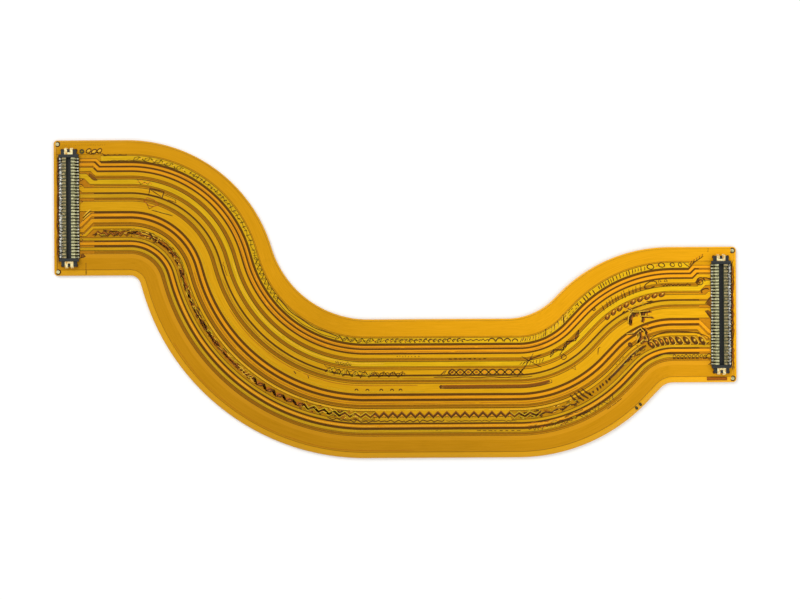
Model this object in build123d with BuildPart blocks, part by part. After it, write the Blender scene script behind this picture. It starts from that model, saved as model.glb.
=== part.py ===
from build123d import *
import math
import os

os.makedirs("parts", exist_ok=True)

# A flexible printed circuit, die-cut in an S, with a board-to-board plug at each end.
# All sizes are in millimetres. X runs along the cable, Z is up, and the origin is at
# the middle of the outline on the face that the stiffeners rest on.

# Outline of the film, measured along its lower long edge
overall_length = 88.5
overall_width = 41.48
end_corner_radius = 0.45
left_bend_from_end = 10.9
left_outer_bend_radius = 1.4
left_inner_bend_radius = 30.0
left_bend_straight = 1.2
right_rise = 9.6
right_bend_from_end = 18.4
right_inner_bend_radius = 23.2
right_outer_bend_radius = 2.3
right_bend_straight = 2.4

# The upper long edge bends about the same corners, a little wider in the middle. A slope
# width, fitted to the photograph, is what the film measures across a slanted run
belly = 0.43
upper_left_outer_radius = 19.6
upper_left_inner_radius = 13.1
upper_left_straight = 0.35
left_slope_width = 17.250701
upper_right_inner_radius = 8.7
upper_right_outer_radius = 20.2
upper_right_straight = 0.35
right_slope_width = 18.030706

# Layers, from the bottom up
stiffener_thickness = 0.20
film_thickness = 0.15
copper_thickness = 0.05

# Widths of the copper lanes and of the gaps between them
edge_margin = 0.73
lower_ground_width = 2.12
upper_ground_width = 1.66
upper_edge_margin = 0.20
thin_trace = 0.42
medium_trace = 0.48
fair_trace = 0.58
broad_trace = 0.69
wide_trace = 1.36
via_strip_width = 0.77
hair_gap = 0.12
groove_gap = 0.21
open_gap = 0.38

# Teeth of the two lanes that interlock in the straight middle run
tooth_pitch = 1.17
tooth_height = 0.57
tooth_gap = 0.33
tooth_seat = 0.20
tooth_run_margin = 0.6

# Fan-out of the lanes at the plugs: sideways shift, and lead before the 45 degree jog
upper_fan_shift = 0.60
middle_fan_shift = 0.75
small_fan_shift = 0.38
long_lead = 2.20
lead_step = 0.30
middle_lead = 0.80
short_lead = 0.15
short_lead_step = 0.30
ground_end_margin = 0.30

# Plugs
plug_from_end = 2.00
contact_pitch = 0.40
contacts_per_row = 33
contact_width = 0.20
contact_thickness = 0.07
trough_width = 0.66
trough_floor = 0.18
wall_thickness = 0.42
housing_width = 2.50
housing_height = 0.66
end_bar = 0.38
row_clearance = 0.06
ear_width = 2.00
ear_length = 0.68
ear_height = 0.46
ear_corner_radius = 0.25
bar_chamfer = 0.08
tail_inset = 0.03
solder_toe = 0.08
pad_clearance = 0.12

# Gold hold-downs on the ears of the plugs
hold_down_width = 1.10
hold_down_thickness = 0.07
hold_down_foot = 0.12
hold_down_notch_width = 0.36
hold_down_notch_depth = 0.42

# Stiffeners and small marks
stiffener_length = 4.35
dot_diameter = 0.44
dot_inset = 0.50
dot_height = 0.07
test_pad_length = 0.48
test_pad_width = 0.34
test_pad_spacing = 0.70
test_pad_inset = 0.42
test_pad_from_bend_end = 1.30
mark_diameter = 0.62
mark_hole_diameter = 0.28
mark_from_end = 3.68
mark_from_edge = 1.45

# Heights of the layers
film_bottom = stiffener_thickness
film_top = film_bottom + film_thickness
copper_top = film_top + copper_thickness


def stack(start, *steps):
    """Distances from the lower edge to the low and high side of each lane."""
    sides = []
    level = start
    for name, gap, width in steps:
        low = level + gap
        level = low + width
        sides.append((name, low, level))
    return sides


# Lanes from the lower edge up: name, gap below it, width
tooth_channel = tooth_seat + tooth_gap + tooth_height
lanes = stack(
    0,
    ("lower_ground_band", edge_margin, lower_ground_width),
    ("trace_01", open_gap, medium_trace),
    ("trace_02", groove_gap, medium_trace),
    ("trace_03", hair_gap, thin_trace),
    ("trace_04", tooth_channel, thin_trace),
    ("trace_05", open_gap, fair_trace),
    ("trace_06", groove_gap, medium_trace),
    ("trace_07", groove_gap, wide_trace),
    ("trace_08", open_gap, fair_trace),
    ("trace_09", hair_gap, broad_trace),
    ("trace_10", open_gap, broad_trace),
    ("trace_11", open_gap, fair_trace),
    ("trace_12", hair_gap, medium_trace),
    ("trace_13", hair_gap, thin_trace),
    ("via_strip", groove_gap, via_strip_width),
    ("upper_ground_band", hair_gap, upper_ground_width),
)
side = {name: (low, high) for name, low, high in lanes}
tail_width = side["upper_ground_band"][1] + upper_edge_margin



def closing_shift(name, *below):
    """Sideways shift that closes a lane down on the ones below it, a hair gap apart."""
    level = side["trace_03"][1] + hair_gap
    for lane in below:
        low, high = side[lane]
        level += high - low + hair_gap
    return level - side[name][0]


# Sideways shift at the plugs and lead before the jog, for the lanes that fan out
fans = {
    "trace_04": (closing_shift("trace_04"), short_lead + 2 * short_lead_step),
    "trace_05": (closing_shift("trace_05", "trace_04"), short_lead + short_lead_step),
    "trace_06": (closing_shift("trace_06", "trace_04", "trace_05"), short_lead),
    "trace_09": (small_fan_shift, short_lead),
    "trace_10": (middle_fan_shift, middle_lead),
    "trace_11": (upper_fan_shift, long_lead - 2 * lead_step),
    "trace_12": (upper_fan_shift, long_lead - lead_step),
    "trace_13": (upper_fan_shift, long_lead),
}

# Places that follow from the sizes
left_end = -overall_length / 2
right_end = overall_length / 2
middle_edge_y = -overall_width / 2
left_edge_y = overall_width / 2 - tail_width
right_edge_y = middle_edge_y + right_rise
left_plug = (left_end + plug_from_end, left_edge_y + tail_width / 2)
right_plug = (right_end - plug_from_end, right_edge_y + tail_width / 2)
row_length = (contacts_per_row - 1) * contact_pitch + contact_width
trough_length = row_length + 2 * row_clearance
bar_end = trough_length / 2 + end_bar
ear_end = bar_end + ear_length
wall_inner = trough_width / 2
wall_outer = wall_inner + wall_thickness
tail_tip = housing_width / 2 - tail_inset
pad_end = tail_tip + solder_toe


def bend_angle(height, radii, straight):
    """Turn, in radians, of two opposite bends that carry a line sideways by height."""
    return math.atan2(radii, straight) + math.asin((height - radii) / math.hypot(radii, straight))


def edge_route(levels, corner_xs, bends, straights):
    """Corner points and radii of a long edge: level, bend down, level, bend up, level."""
    left_y, middle_y, right_y = levels
    drop_turn = bend_angle(left_y - middle_y, bends[0] + bends[1], straights[0])
    rise_turn = bend_angle(right_y - middle_y, bends[2] + bends[3], straights[1])
    drop_x = corner_xs[0] + (left_y - middle_y) / math.tan(drop_turn)
    rise_x = corner_xs[1] + (right_y - middle_y) / math.tan(rise_turn)
    points = [
        Vector(left_end, left_y),
        Vector(corner_xs[0], left_y),
        Vector(drop_x, middle_y),
        Vector(corner_xs[1], middle_y),
        Vector(rise_x, right_y),
        Vector(right_end, right_y),
    ]
    return points, list(bends)


def offset_route(points, bends, distance):
    """The same route moved to its left by distance, with its bends kept concentric."""
    ways = [(after - before).normalized() for before, after in zip(points, points[1:])]
    normals = [Vector(-way.Y, way.X) for way in ways]
    moved = [points[0] + normals[0] * distance]
    new_bends = []
    for corner, bend, before, after in zip(points[1:-1], bends, normals, normals[1:]):
        moved.append(corner + (before + after) * (distance / (1 + before.dot(after))))
        turn = before.X * after.Y - before.Y * after.X
        new_bends.append(bend - distance * math.copysign(1, turn) if bend else 0)
    moved.append(points[-1] + normals[-1] * distance)
    return moved, new_bends


def fan_route(points, bends, fan):
    """The route between the two rows of pads, with a 45 degree jog near each plug."""
    start = left_plug[0] + pad_end
    finish = right_plug[0] - pad_end
    left_y = points[0].Y
    right_y = points[-1].Y
    if fan is None:
        return [Vector(start, left_y)] + points[1:-1] + [Vector(finish, right_y)], bends
    shift, lead = fan
    jog = abs(shift)
    opening = [
        Vector(start, left_y + shift),
        Vector(start + lead, left_y + shift),
        Vector(start + lead + jog, left_y),
    ]
    closing = [
        Vector(finish - lead - jog, right_y),
        Vector(finish - lead, right_y + shift),
        Vector(finish, right_y + shift),
    ]
    return opening + points[1:-1] + closing, [0, 0] + bends + [0, 0]


def half_turn(points, index):
    """Tangent of half the turn at one corner of a route."""
    before = (points[index] - points[index - 1]).normalized()
    after = (points[index + 1] - points[index]).normalized()
    return math.tan(math.radians(before.get_angle(after)) / 2)


def run_start(points, bends):
    """X at which the straight middle run begins."""
    index = len(points) // 2 - 1
    return points[index].X + bends[index - 1] * half_turn(points, index)


def run_finish(points, bends):
    """X at which the straight middle run ends."""
    index = len(points) // 2
    return points[index].X - bends[index - 1] * half_turn(points, index)


def middle_level(points):
    """Y of the straight middle run."""
    return points[len(points) // 2].Y


def tooth_points(low_side, high_side):
    """Zigzags of the two sides of the tooth channel, along the straight middle run."""
    start = max(run_start(*low_side), run_start(*high_side)) + tooth_run_margin
    finish = min(run_finish(*low_side), run_finish(*high_side)) - tooth_run_margin
    count = max(1, math.floor((finish - start) / tooth_pitch))
    first = (start + finish - count * tooth_pitch) / 2
    base = middle_level(low_side[0])
    top = middle_level(high_side[0])
    upper = [Vector(first, top)]
    lower = [Vector(first, base)]
    for index in range(count):
        valley = first + index * tooth_pitch + tooth_pitch / 2
        peak = first + (index + 1) * tooth_pitch
        upper.append(Vector(valley, top - tooth_height))
        upper.append(Vector(peak, top))
        lower.append(Vector(valley, top - tooth_height - tooth_gap))
        lower.append(Vector(peak, top - tooth_gap))
    lower[-1] = Vector(first + count * tooth_pitch, base)
    return lower, upper


def with_teeth(points, bends, zigzag):
    """A route with a zigzag put into its straight middle run."""
    middle = len(points) // 2
    inserted = points[:middle] + zigzag + points[middle:]
    return inserted, bends[:middle - 1] + [0] * len(zigzag) + bends[middle - 1:]


def save(piece, name):
    """Label a finished piece and write its file."""
    piece.part.label = name
    export_step(piece.part, f"parts/{name}.step")


def strip(name, low, high, level, thickness, corner_radius=0, clearing=None):
    """A flat strip between two routes, with a clearing at both plugs if one is given."""
    low_points, low_bends = low
    high_points, high_bends = high
    corner = [corner_radius]
    outline = low_points + high_points[::-1]
    bends = corner + low_bends + corner + corner + high_bends[::-1] + corner
    with BuildPart() as piece:
        with BuildSketch(Plane.XY.offset(level)):
            with BuildLine():
                FilletPolyline(*outline, radius=bends, close=True)
            make_face()
            if clearing:
                with Locations(left_plug, right_plug):
                    Rectangle(*clearing, mode=Mode.SUBTRACT)
        extrude(amount=thickness)
    save(piece, name)


# Long edges of the film
lower_edge = edge_route(
    (left_edge_y, middle_edge_y, right_edge_y),
    (left_end + left_bend_from_end, right_end - right_bend_from_end),
    (left_outer_bend_radius, left_inner_bend_radius, right_inner_bend_radius, right_outer_bend_radius),
    (left_bend_straight, right_bend_straight),
)
left_turn = bend_angle(
    left_edge_y - middle_edge_y, left_outer_bend_radius + left_inner_bend_radius, left_bend_straight
)
right_turn = bend_angle(right_rise, right_inner_bend_radius + right_outer_bend_radius, right_bend_straight)
upper_left_corner = left_end + left_bend_from_end + left_slope_width * math.tan(left_turn / 2)
upper_right_corner = right_end - right_bend_from_end - right_slope_width * math.tan(right_turn / 2)
upper_edge = edge_route(
    (left_edge_y + tail_width, middle_edge_y + tail_width + belly, right_edge_y + tail_width),
    (upper_left_corner, upper_right_corner),
    (upper_left_outer_radius, upper_left_inner_radius, upper_right_inner_radius, upper_right_outer_radius),
    (upper_left_straight, upper_right_straight),
)

strip("flex_base_film", lower_edge, upper_edge, film_bottom, film_thickness, end_corner_radius)


def lane_sides(name):
    """Low and high side of a lane, with its fan-out at both plugs."""
    low, high = side[name]
    half = (high - low) / 2
    centre = offset_route(*lower_edge, low + half)
    fanned = fan_route(*centre, fans.get(name))
    return offset_route(*fanned, -half), offset_route(*fanned, half)


def trimmed(route, margin):
    """A route that stops a margin short of both ends of the film."""
    points, bends = route
    first = points[0] + Vector(margin, 0)
    last = points[-1] - Vector(margin, 0)
    return [first] + points[1:-1] + [last], bends


def ground_band(name, low, high):
    """A wide copper band along one long edge, cleared round the pads of both plugs."""
    low_side = trimmed(low, ground_end_margin)
    high_side = trimmed(high, ground_end_margin)
    clearing = (2 * (pad_end + pad_clearance), row_length + 2 * pad_clearance)
    strip(name, low_side, high_side, film_top, copper_thickness, clearing=clearing)


# Wide ground bands along both long edges
low, high = side["lower_ground_band"]
ground_band("lower_ground_band", offset_route(*lower_edge, low), offset_route(*lower_edge, high))
low, high = side["upper_ground_band"]
ground_band("upper_ground_band", offset_route(*lower_edge, low), offset_route(*upper_edge, -upper_edge_margin))

# Copper lanes between the bands, with teeth on the two lanes beside the tooth channel
sides = {name: lane_sides(name) for name in side if name.startswith("trace")}
low_teeth, high_teeth = tooth_points(sides["trace_03"][1], sides["trace_04"][0])
sides["trace_03"] = sides["trace_03"][0], with_teeth(*sides["trace_03"][1], low_teeth)
sides["trace_04"] = with_teeth(*sides["trace_04"][0], high_teeth), sides["trace_04"][1]
for name, (low, high) in sides.items():
    strip(name, low, high, film_top, copper_thickness)

# The stitched strip starts where the topmost lane has come out of its jog
via_end = plug_from_end + pad_end + long_lead + upper_fan_shift
low, high = side["via_strip"]
via_low = trimmed(offset_route(*lower_edge, low), via_end)
via_high = trimmed(offset_route(*lower_edge, high), via_end)
strip("via_strip", via_low, via_high, film_top, copper_thickness)


def build_stiffener(name, outer_x, edge_y, towards_middle):
    """The stiff plate behind one plug, with the film's own rounded corners."""
    inner_x = outer_x + towards_middle * stiffener_length
    corners = [
        (inner_x, edge_y),
        (outer_x, edge_y),
        (outer_x, edge_y + tail_width),
        (inner_x, edge_y + tail_width),
    ]
    with BuildPart() as plate:
        with BuildSketch():
            with BuildLine():
                FilletPolyline(*corners, radius=[0, end_corner_radius, end_corner_radius, 0], close=True)
            make_face()
        extrude(amount=stiffener_thickness)
    save(plate, name)


build_stiffener("left_stiffener", left_end, left_edge_y, 1)
build_stiffener("right_stiffener", right_end, right_edge_y, -1)


def build_housing(name, place):
    """Black moulded frame: two walls beside a trough, end bars, and an ear at each end."""
    seat = Plane(origin=(*place, copper_top))
    recess_width = (housing_width - 2 * wall_outer) / 2
    recess_x = wall_outer + recess_width / 2
    with BuildPart() as housing:
        with BuildSketch(seat):
            Rectangle(housing_width, 2 * bar_end)
            with Locations((-recess_x, 0), (recess_x, 0)):
                Rectangle(recess_width, trough_length, mode=Mode.SUBTRACT)
        extrude(amount=housing_height)
        with BuildSketch(seat):
            with GridLocations(0, 2 * bar_end + ear_length, 1, 2):
                Rectangle(ear_width, ear_length)
        extrude(amount=ear_height)
        fillet(housing.edges().filter_by(Axis.Z).group_by(Axis.Y)[0], ear_corner_radius)
        fillet(housing.edges().filter_by(Axis.Z).group_by(Axis.Y)[-1], ear_corner_radius)
        with BuildSketch(seat.offset(trough_floor)):
            Rectangle(trough_width, trough_length)
        extrude(amount=housing_height - trough_floor, mode=Mode.SUBTRACT)
        across = housing.edges().filter_by(Axis.X).group_by(Axis.Z)[-1].group_by(Axis.Y)
        chamfer(across[0] + across[-1], bar_chamfer)
    save(housing, name)


def build_contact_row(name, place, towards):
    """A row of stamped contacts, each soldered to its pad: tail, up the wall and over it."""
    step = contact_thickness
    profile = [
        (pad_end, -copper_thickness),
        (tail_tip, step),
        (wall_outer + step, step),
        (wall_outer + step, housing_height + step),
        (wall_inner, housing_height + step),
        (wall_inner, housing_height),
        (wall_outer, housing_height),
        (wall_outer, -copper_thickness),
    ]
    with BuildPart() as contact:
        with BuildSketch(Plane.XZ):
            with BuildLine():
                Polyline(*[(towards * x, z) for x, z in profile], close=True)
            make_face()
        extrude(amount=contact_width / 2, both=True)
    with BuildPart() as row:
        with Locations((*place, copper_top)):
            with GridLocations(0, contact_pitch, 1, contacts_per_row):
                add(contact.part)
    save(row, name)


def build_hold_downs(name, place):
    """Two stamped brackets: flat on the ear, down its end, and a forked foot on the band."""
    step = hold_down_thickness
    profile = [
        (bar_end, ear_height),
        (bar_end, ear_height + step),
        (ear_end + step, ear_height + step),
        (ear_end + step, step),
        (ear_end + step + hold_down_foot, step),
        (ear_end + step + hold_down_foot, 0),
        (ear_end, 0),
        (ear_end, ear_height),
    ]
    notch_length = hold_down_notch_depth + hold_down_foot + step
    notch_y = ear_end + step + hold_down_foot - notch_length / 2
    with BuildPart() as bracket:
        with BuildSketch(Plane.YZ):
            with BuildLine():
                Polyline(*profile, close=True)
            make_face()
        extrude(amount=hold_down_width / 2, both=True)
        with BuildSketch():
            with Locations((0, notch_y)):
                Rectangle(hold_down_notch_width, notch_length)
        extrude(amount=ear_height + step, mode=Mode.SUBTRACT)
    with BuildPart() as pair:
        with Locations((*place, copper_top)):
            with PolarLocations(0, 2):
                add(bracket.part)
    save(pair, name)


def build_plug(end_name, place, towards_middle):
    """One complete plug, soldered down."""
    build_housing(f"{end_name}_housing", place)
    build_contact_row(f"{end_name}_inner_contacts", place, towards_middle)
    build_contact_row(f"{end_name}_outer_contacts", place, -towards_middle)
    build_hold_downs(f"{end_name}_hold_downs", place)


build_plug("left", left_plug, 1)
build_plug("right", right_plug, -1)

# Round metal dots in the four end corners: the upper two stand on the ground band
lower_dots = []
upper_dots = []
for x, edge_y in ((left_end + dot_inset, left_edge_y), (right_end - dot_inset, right_edge_y)):
    lower_dots.append((x, edge_y + dot_inset))
    upper_dots.append((x, edge_y + tail_width - dot_inset))
with BuildPart() as dots:
    for level, places in ((film_top, lower_dots), (copper_top, upper_dots)):
        with BuildSketch(Plane.XY.offset(level)):
            with Locations(*places):
                Circle(dot_diameter / 2)
        extrude(amount=dot_height)
save(dots, "corner_dots")

# Two oval pads in the bare margin, near the end of the right-hand inner bend
bend_corner = lower_edge[0][3]
bend_tangent = half_turn(lower_edge[0], 3)
bend_centre = bend_corner + Vector(-bend_tangent, 1) * right_inner_bend_radius
pad_places = []
for shift in (-test_pad_spacing / 2, test_pad_spacing / 2):
    turn = 2 * math.atan(bend_tangent) - (test_pad_from_bend_end + shift) / right_inner_bend_radius
    outward = Vector(math.sin(turn), -math.cos(turn))
    place = bend_centre + outward * (right_inner_bend_radius - test_pad_inset)
    pad_places.append(Location((place.X, place.Y), math.degrees(turn)))
with BuildPart() as test_pads:
    with BuildSketch(Plane.XY.offset(film_top)):
        with Locations(*pad_places):
            SlotOverall(test_pad_length, test_pad_width, rotation=90)
    extrude(amount=dot_height)
save(test_pads, "test_pads")

# Round locating mark on the upper ground band, beside the left plug
mark_place = (left_end + mark_from_end, left_edge_y + tail_width - mark_from_edge, copper_top)
with BuildPart() as mark:
    with BuildSketch(Plane(origin=mark_place)):
        Circle(mark_diameter / 2)
        Circle(mark_hole_diameter / 2, mode=Mode.SUBTRACT)
    extrude(amount=dot_height)
save(mark, "locating_mark")
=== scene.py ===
import random
from math import asin, atan2, ceil, copysign, cos, hypot, pi, radians, sin, sqrt, tan

import bpy
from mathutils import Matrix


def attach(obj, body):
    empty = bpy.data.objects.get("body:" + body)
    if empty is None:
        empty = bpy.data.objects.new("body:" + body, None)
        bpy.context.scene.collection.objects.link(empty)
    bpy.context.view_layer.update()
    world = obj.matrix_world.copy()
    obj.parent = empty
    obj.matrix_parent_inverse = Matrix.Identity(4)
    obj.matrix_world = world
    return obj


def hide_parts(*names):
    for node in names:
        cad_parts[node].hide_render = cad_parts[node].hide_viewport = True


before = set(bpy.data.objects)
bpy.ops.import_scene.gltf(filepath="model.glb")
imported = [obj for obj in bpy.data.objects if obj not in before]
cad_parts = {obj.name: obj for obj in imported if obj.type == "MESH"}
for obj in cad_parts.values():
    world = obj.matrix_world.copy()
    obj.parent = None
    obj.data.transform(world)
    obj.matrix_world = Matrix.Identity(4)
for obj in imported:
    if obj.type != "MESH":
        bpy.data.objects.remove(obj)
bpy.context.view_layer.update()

# Sizes below are in millimetres, as on a drawing, and MM turns them into metres.
# A point on the cable is given by s, the distance along it from its left end, and by
# w, the distance across it from its lower edge.
MM = 0.001

# Millimetres to one unit of the maps stored with the meshes: places, and edge distances
map_span = 100
edge_span = 10

# Outline, as built
overall_length = 88.5
overall_width = 41.48
tail_width = 17.58
end_corner_radius = 0.45
left_end = -overall_length / 2
right_end = overall_length / 2
middle_edge_y = -overall_width / 2
left_edge_y = overall_width / 2 - tail_width
right_edge_rise = 9.6
right_edge_y = middle_edge_y + right_edge_rise
reference_w = 9.1

# Levels, from the bottom up
film_bottom = 0.20
film_top = 0.35
copper_top = 0.40
ink_foot = film_top - 0.005

# Longest step along the cable between the sections of a swept strip
station_step = 0.3

# Lanes from the lower edge up: name, gap below, width, colour of the coated copper, and
# the fan-out at the plugs: lead before the 45 degree jog and sideways shift. The three
# lanes above the tooth channel close up a hair gap apart, so their shifts follow.
edge_margin = 0.73
upper_edge_margin = 0.20
hair_gap = 0.12
groove_gap = 0.21
open_gap = 0.38
tooth_channel = 1.10
tooth_height = 0.57
tooth_gap = 0.33
tooth_pitch = 1.17
lane_rows = (
    ("lower_ground_band", edge_margin, 2.12, "ground", None, None),
    ("trace_01", open_gap, 0.48, "olive", None, None),
    ("trace_02", groove_gap, 0.48, "orange", None, None),
    ("trace_03", hair_gap, 0.42, "olive", None, None),
    ("trace_04", tooth_channel, 0.42, "yellow", 0.75, "follows"),
    ("trace_05", open_gap, 0.58, "amber", 0.45, "follows"),
    ("trace_06", groove_gap, 0.48, "orange", 0.15, "follows"),
    ("trace_07", groove_gap, 1.36, "yellow", None, None),
    ("trace_08", open_gap, 0.58, "olive", None, None),
    ("trace_09", hair_gap, 0.69, "yellow", 0.15, 0.38),
    ("trace_10", open_gap, 0.69, "lime", 0.80, 0.75),
    ("trace_11", open_gap, 0.58, "yellow", 1.60, 0.60),
    ("trace_12", hair_gap, 0.48, "orange", 1.90, 0.60),
    ("trace_13", hair_gap, 0.42, "orange", 2.20, 0.60),
    ("via_strip", groove_gap, 0.77, "lime", None, None),
    ("upper_ground_band", hair_gap, 1.66, "ground", None, None),
)

# Plugs
plug_from_end = 2.00
plug_width = 2.50
trough_width = 0.66
wall_thickness = 0.42
wall_outer = trough_width / 2 + wall_thickness
tail_inset = 0.03
solder_toe = 0.08
pad_end = plug_width / 2 - tail_inset + solder_toe
pad_clearance = 0.12
contact_pitch = 0.40
contacts_per_row = 33
contact_width = 0.20
row_length = (contacts_per_row - 1) * contact_pitch + contact_width
row_clearance = 0.06
bar_length = 0.38
bar_end = row_length / 2 + row_clearance + bar_length
ear_length = 0.68
ear_end = bar_end + ear_length
lane_start = plug_from_end + pad_end
left_plug = (left_end + plug_from_end, left_edge_y + tail_width / 2)
right_plug = (right_end - plug_from_end, right_edge_y + tail_width / 2)


class Route:
    """A long edge of the cable as straight runs and arcs, with points beside it."""

    def __init__(self, start, reference):
        self.x, self.y = start
        self.heading = 0.0
        self.reference = reference
        self.length = 0.0
        self.pieces = []

    def straight(self, length):
        self.pieces.append((self.length, self.x, self.y, self.heading, 0, 0.0))
        self.x += length * cos(self.heading)
        self.y += length * sin(self.heading)
        self.length += length

    def bend(self, radius, turn, side):
        """An arc that turns left if side is 1, and right if it is -1."""
        reach = side * radius
        x = self.x - reach * sin(self.heading)
        y = self.y + reach * cos(self.heading)
        self.pieces.append((self.length, x, y, self.heading, side, radius))
        self.heading += side * turn
        self.x = x + reach * sin(self.heading)
        self.y = y - reach * cos(self.heading)
        self.length += turn * (radius - side * self.reference)

    def at(self, s, w):
        """The point at s along the reference line and w to the left of the edge."""
        index = len(self.pieces) - 1
        while index > 0 and s < self.pieces[index][0]:
            index -= 1
        start, x, y, heading, side, radius = self.pieces[index]
        along = s - start
        if side == 0:
            return (
                x + along * cos(heading) - w * sin(heading),
                y + along * sin(heading) + w * cos(heading),
            )
        heading += side * along / (radius - side * self.reference)
        reach = w - side * radius
        return x - reach * sin(heading), y + reach * cos(heading)


def bend_turn(height, radii, straight):
    """Turn of two opposite bends that carry an edge sideways by height."""
    return atan2(radii, straight) + asin((height - radii) / hypot(radii, straight))


def s_shape(start, drop, rise, bends, straights, corners, reference):
    """A long edge: level, down, level, up, level. The corners are measured from the ends."""
    route = Route(start, reference)
    down = bend_turn(drop, bends[0] + bends[1], straights[0])
    up = bend_turn(rise, bends[2] + bends[3], straights[1])
    cut = [radius * tan(turn / 2) for radius, turn in zip(bends, (down, down, up, up))]
    run = overall_length - sum(corners) - drop / tan(down)
    route.straight(corners[0] - cut[0])
    route.bend(bends[0], down, -1)
    route.straight(straights[0])
    route.bend(bends[1], down, 1)
    route.straight(run - cut[1] - cut[2])
    route.bend(bends[2], up, 1)
    route.straight(straights[1])
    route.bend(bends[3], up, -1)
    route.straight(corners[1] - rise / tan(up) - cut[3])
    return route


lower_edge = s_shape(
    (left_end, left_edge_y),
    drop=left_edge_y - middle_edge_y,
    rise=right_edge_rise,
    bends=(1.4, 30.0, 23.2, 2.3),
    straights=(1.2, 2.4),
    corners=(10.9, 18.4),
    reference=reference_w,
)
belly = 0.43
upper_edge = s_shape(
    (left_end, left_edge_y + tail_width),
    drop=left_edge_y - middle_edge_y - belly,
    rise=right_edge_rise - belly,
    bends=(19.6, 13.1, 8.7, 20.2),
    straights=(0.35, 0.35),
    corners=(23.9, 26.1),
    reference=0.0,
)
cable_length = lower_edge.length
middle_start = lower_edge.pieces[4][0]
middle_end = lower_edge.pieces[5][0]


def spread(low, high, step, extra=()):
    """Even stations from low to high, with the extra ones between them."""
    count = max(1, round((high - low) / step))
    stations = {round(low + (high - low) * index / count, 5) for index in range(count + 1)}
    stations.update(round(place, 5) for place in extra if low < place < high)
    return sorted(stations)


def measure_width():
    """Width of the film at even stations, from its lower edge to its upper edge."""
    samples = [upper_edge.at(s, 0) for s in spread(0, upper_edge.length, 0.05)]
    widths = []
    first = 0
    for s in spread(0, cable_length, 0.5):
        x, y = lower_edge.at(s, 0)
        up_x, up_y = lower_edge.at(s, 1)
        up_x, up_y = up_x - x, up_y - y
        index = max(0, first - 5)
        while index < len(samples) - 2:
            ahead = (samples[index + 1][0] - x) * up_y - (samples[index + 1][1] - y) * up_x
            across = (samples[index][0] - x) * up_x + (samples[index][1] - y) * up_y
            if ahead >= 0 and abs(across - tail_width) < 2:
                break
            index += 1
        first = index
        widths.append(across)
    widths[-1] = tail_width
    return widths


film_widths = measure_width()


def film_width(s):
    """Width of the film at s."""
    place = min(max(s / cable_length, 0), 1) * (len(film_widths) - 1)
    index = min(int(place), len(film_widths) - 2)
    share = place - index
    return film_widths[index] * (1 - share) + film_widths[index + 1] * share


def corner_cut(s):
    """How far the rounded end corners cut in from a long edge at s."""
    from_end = min(s, cable_length - s)
    if from_end >= end_corner_radius:
        return 0.0
    inside = end_corner_radius - max(from_end, 0)
    return end_corner_radius - sqrt(max(end_corner_radius**2 - inside**2, 0))


def add_object(name, data):
    """A new object in the scene."""
    added = bpy.data.objects.new(name, data)
    bpy.context.scene.collection.objects.link(added)
    return added


def make_piece(name, points, faces, maps, material):
    """A new piece from points in millimetres. maps holds a pair of numbers per point."""
    mesh = bpy.data.meshes.new(name)
    mesh.from_pydata([(x * MM, y * MM, z * MM) for x, y, z in points], [], faces)
    for label, values in maps.items():
        layer = mesh.uv_layers.new(name=label)
        for loop in mesh.loops:
            layer.data[loop.index].uv = values[loop.vertex_index]
    for polygon in mesh.polygons:
        polygon.use_smooth = True
    piece = add_object(name, mesh)
    mesh.materials.append(material)
    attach(piece, "root")
    return piece


def swept(name, stations, section, material):
    """A closed strip along the cable: section(s) gives its points (w, z, edge distance)."""
    points = []
    flat = []
    lane = []
    faces = []
    size = len(section(stations[0]))
    for s in stations:
        loop = section(s)
        for w, z, edge in loop:
            x, y = lower_edge.at(s, w)
            points.append((x, y, z))
            flat.append((s / map_span, w / map_span))
            lane.append((s / map_span, edge / edge_span))
    for row in range(len(stations) - 1):
        for column in range(size):
            after = (column + 1) % size
            here = row * size
            there = here + size
            faces.append((here + column, here + after, there + after, there + column))
    faces.append(tuple(range(size))[::-1])
    faces.append(tuple(range(len(points) - size, len(points))))
    maps = {"flat": flat, "lane": lane}
    return make_piece(name, points, faces, maps, material)


# Colours, as red, green and blue on the usual 0 to 255 scale
colours = {
    "ground": (211, 147, 2),
    "low_ground": (196, 135, 0),
    "olive": (202, 150, 8),
    "orange": (228, 150, 14),
    "amber": (214, 146, 4),
    "yellow": (214, 155, 4),
    "lime": (214, 166, 8),
    "film_edge": (224, 160, 18),
    "film_gap": (86, 54, 5),
    "film_open": (156, 101, 10),
    "film_channel": (184, 128, 8),
    "dark": (84, 52, 10),
    "brown": (120, 74, 14),
    "rust": (158, 88, 18),
    "stitch": (190, 158, 26),
    "cream": (228, 176, 48),
}


def linear(name_or_rgb, factor=1.0):
    """Linear colour with alpha, from a name in the list above or from 0 to 255 values."""
    rgb = colours.get(name_or_rgb, name_or_rgb)
    return (*[(channel / 255) ** 2.2 * factor for channel in rgb], 1.0)


def fill(tree, node, inputs):
    """Links the inputs that are outputs of other nodes, and sets the others."""
    for label, value in inputs.items():
        if isinstance(value, bpy.types.NodeSocket):
            tree.links.new(value, node.inputs[label])
        else:
            node.inputs[label].default_value = value


def add_node(tree, kind, inputs, output=0, **settings):
    """One output of a new node with its own settings and inputs."""
    node = tree.nodes.new("ShaderNode" + kind)
    for name, value in settings.items():
        setattr(node, name, value)
    fill(tree, node, inputs)
    return node.outputs[output]


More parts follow.
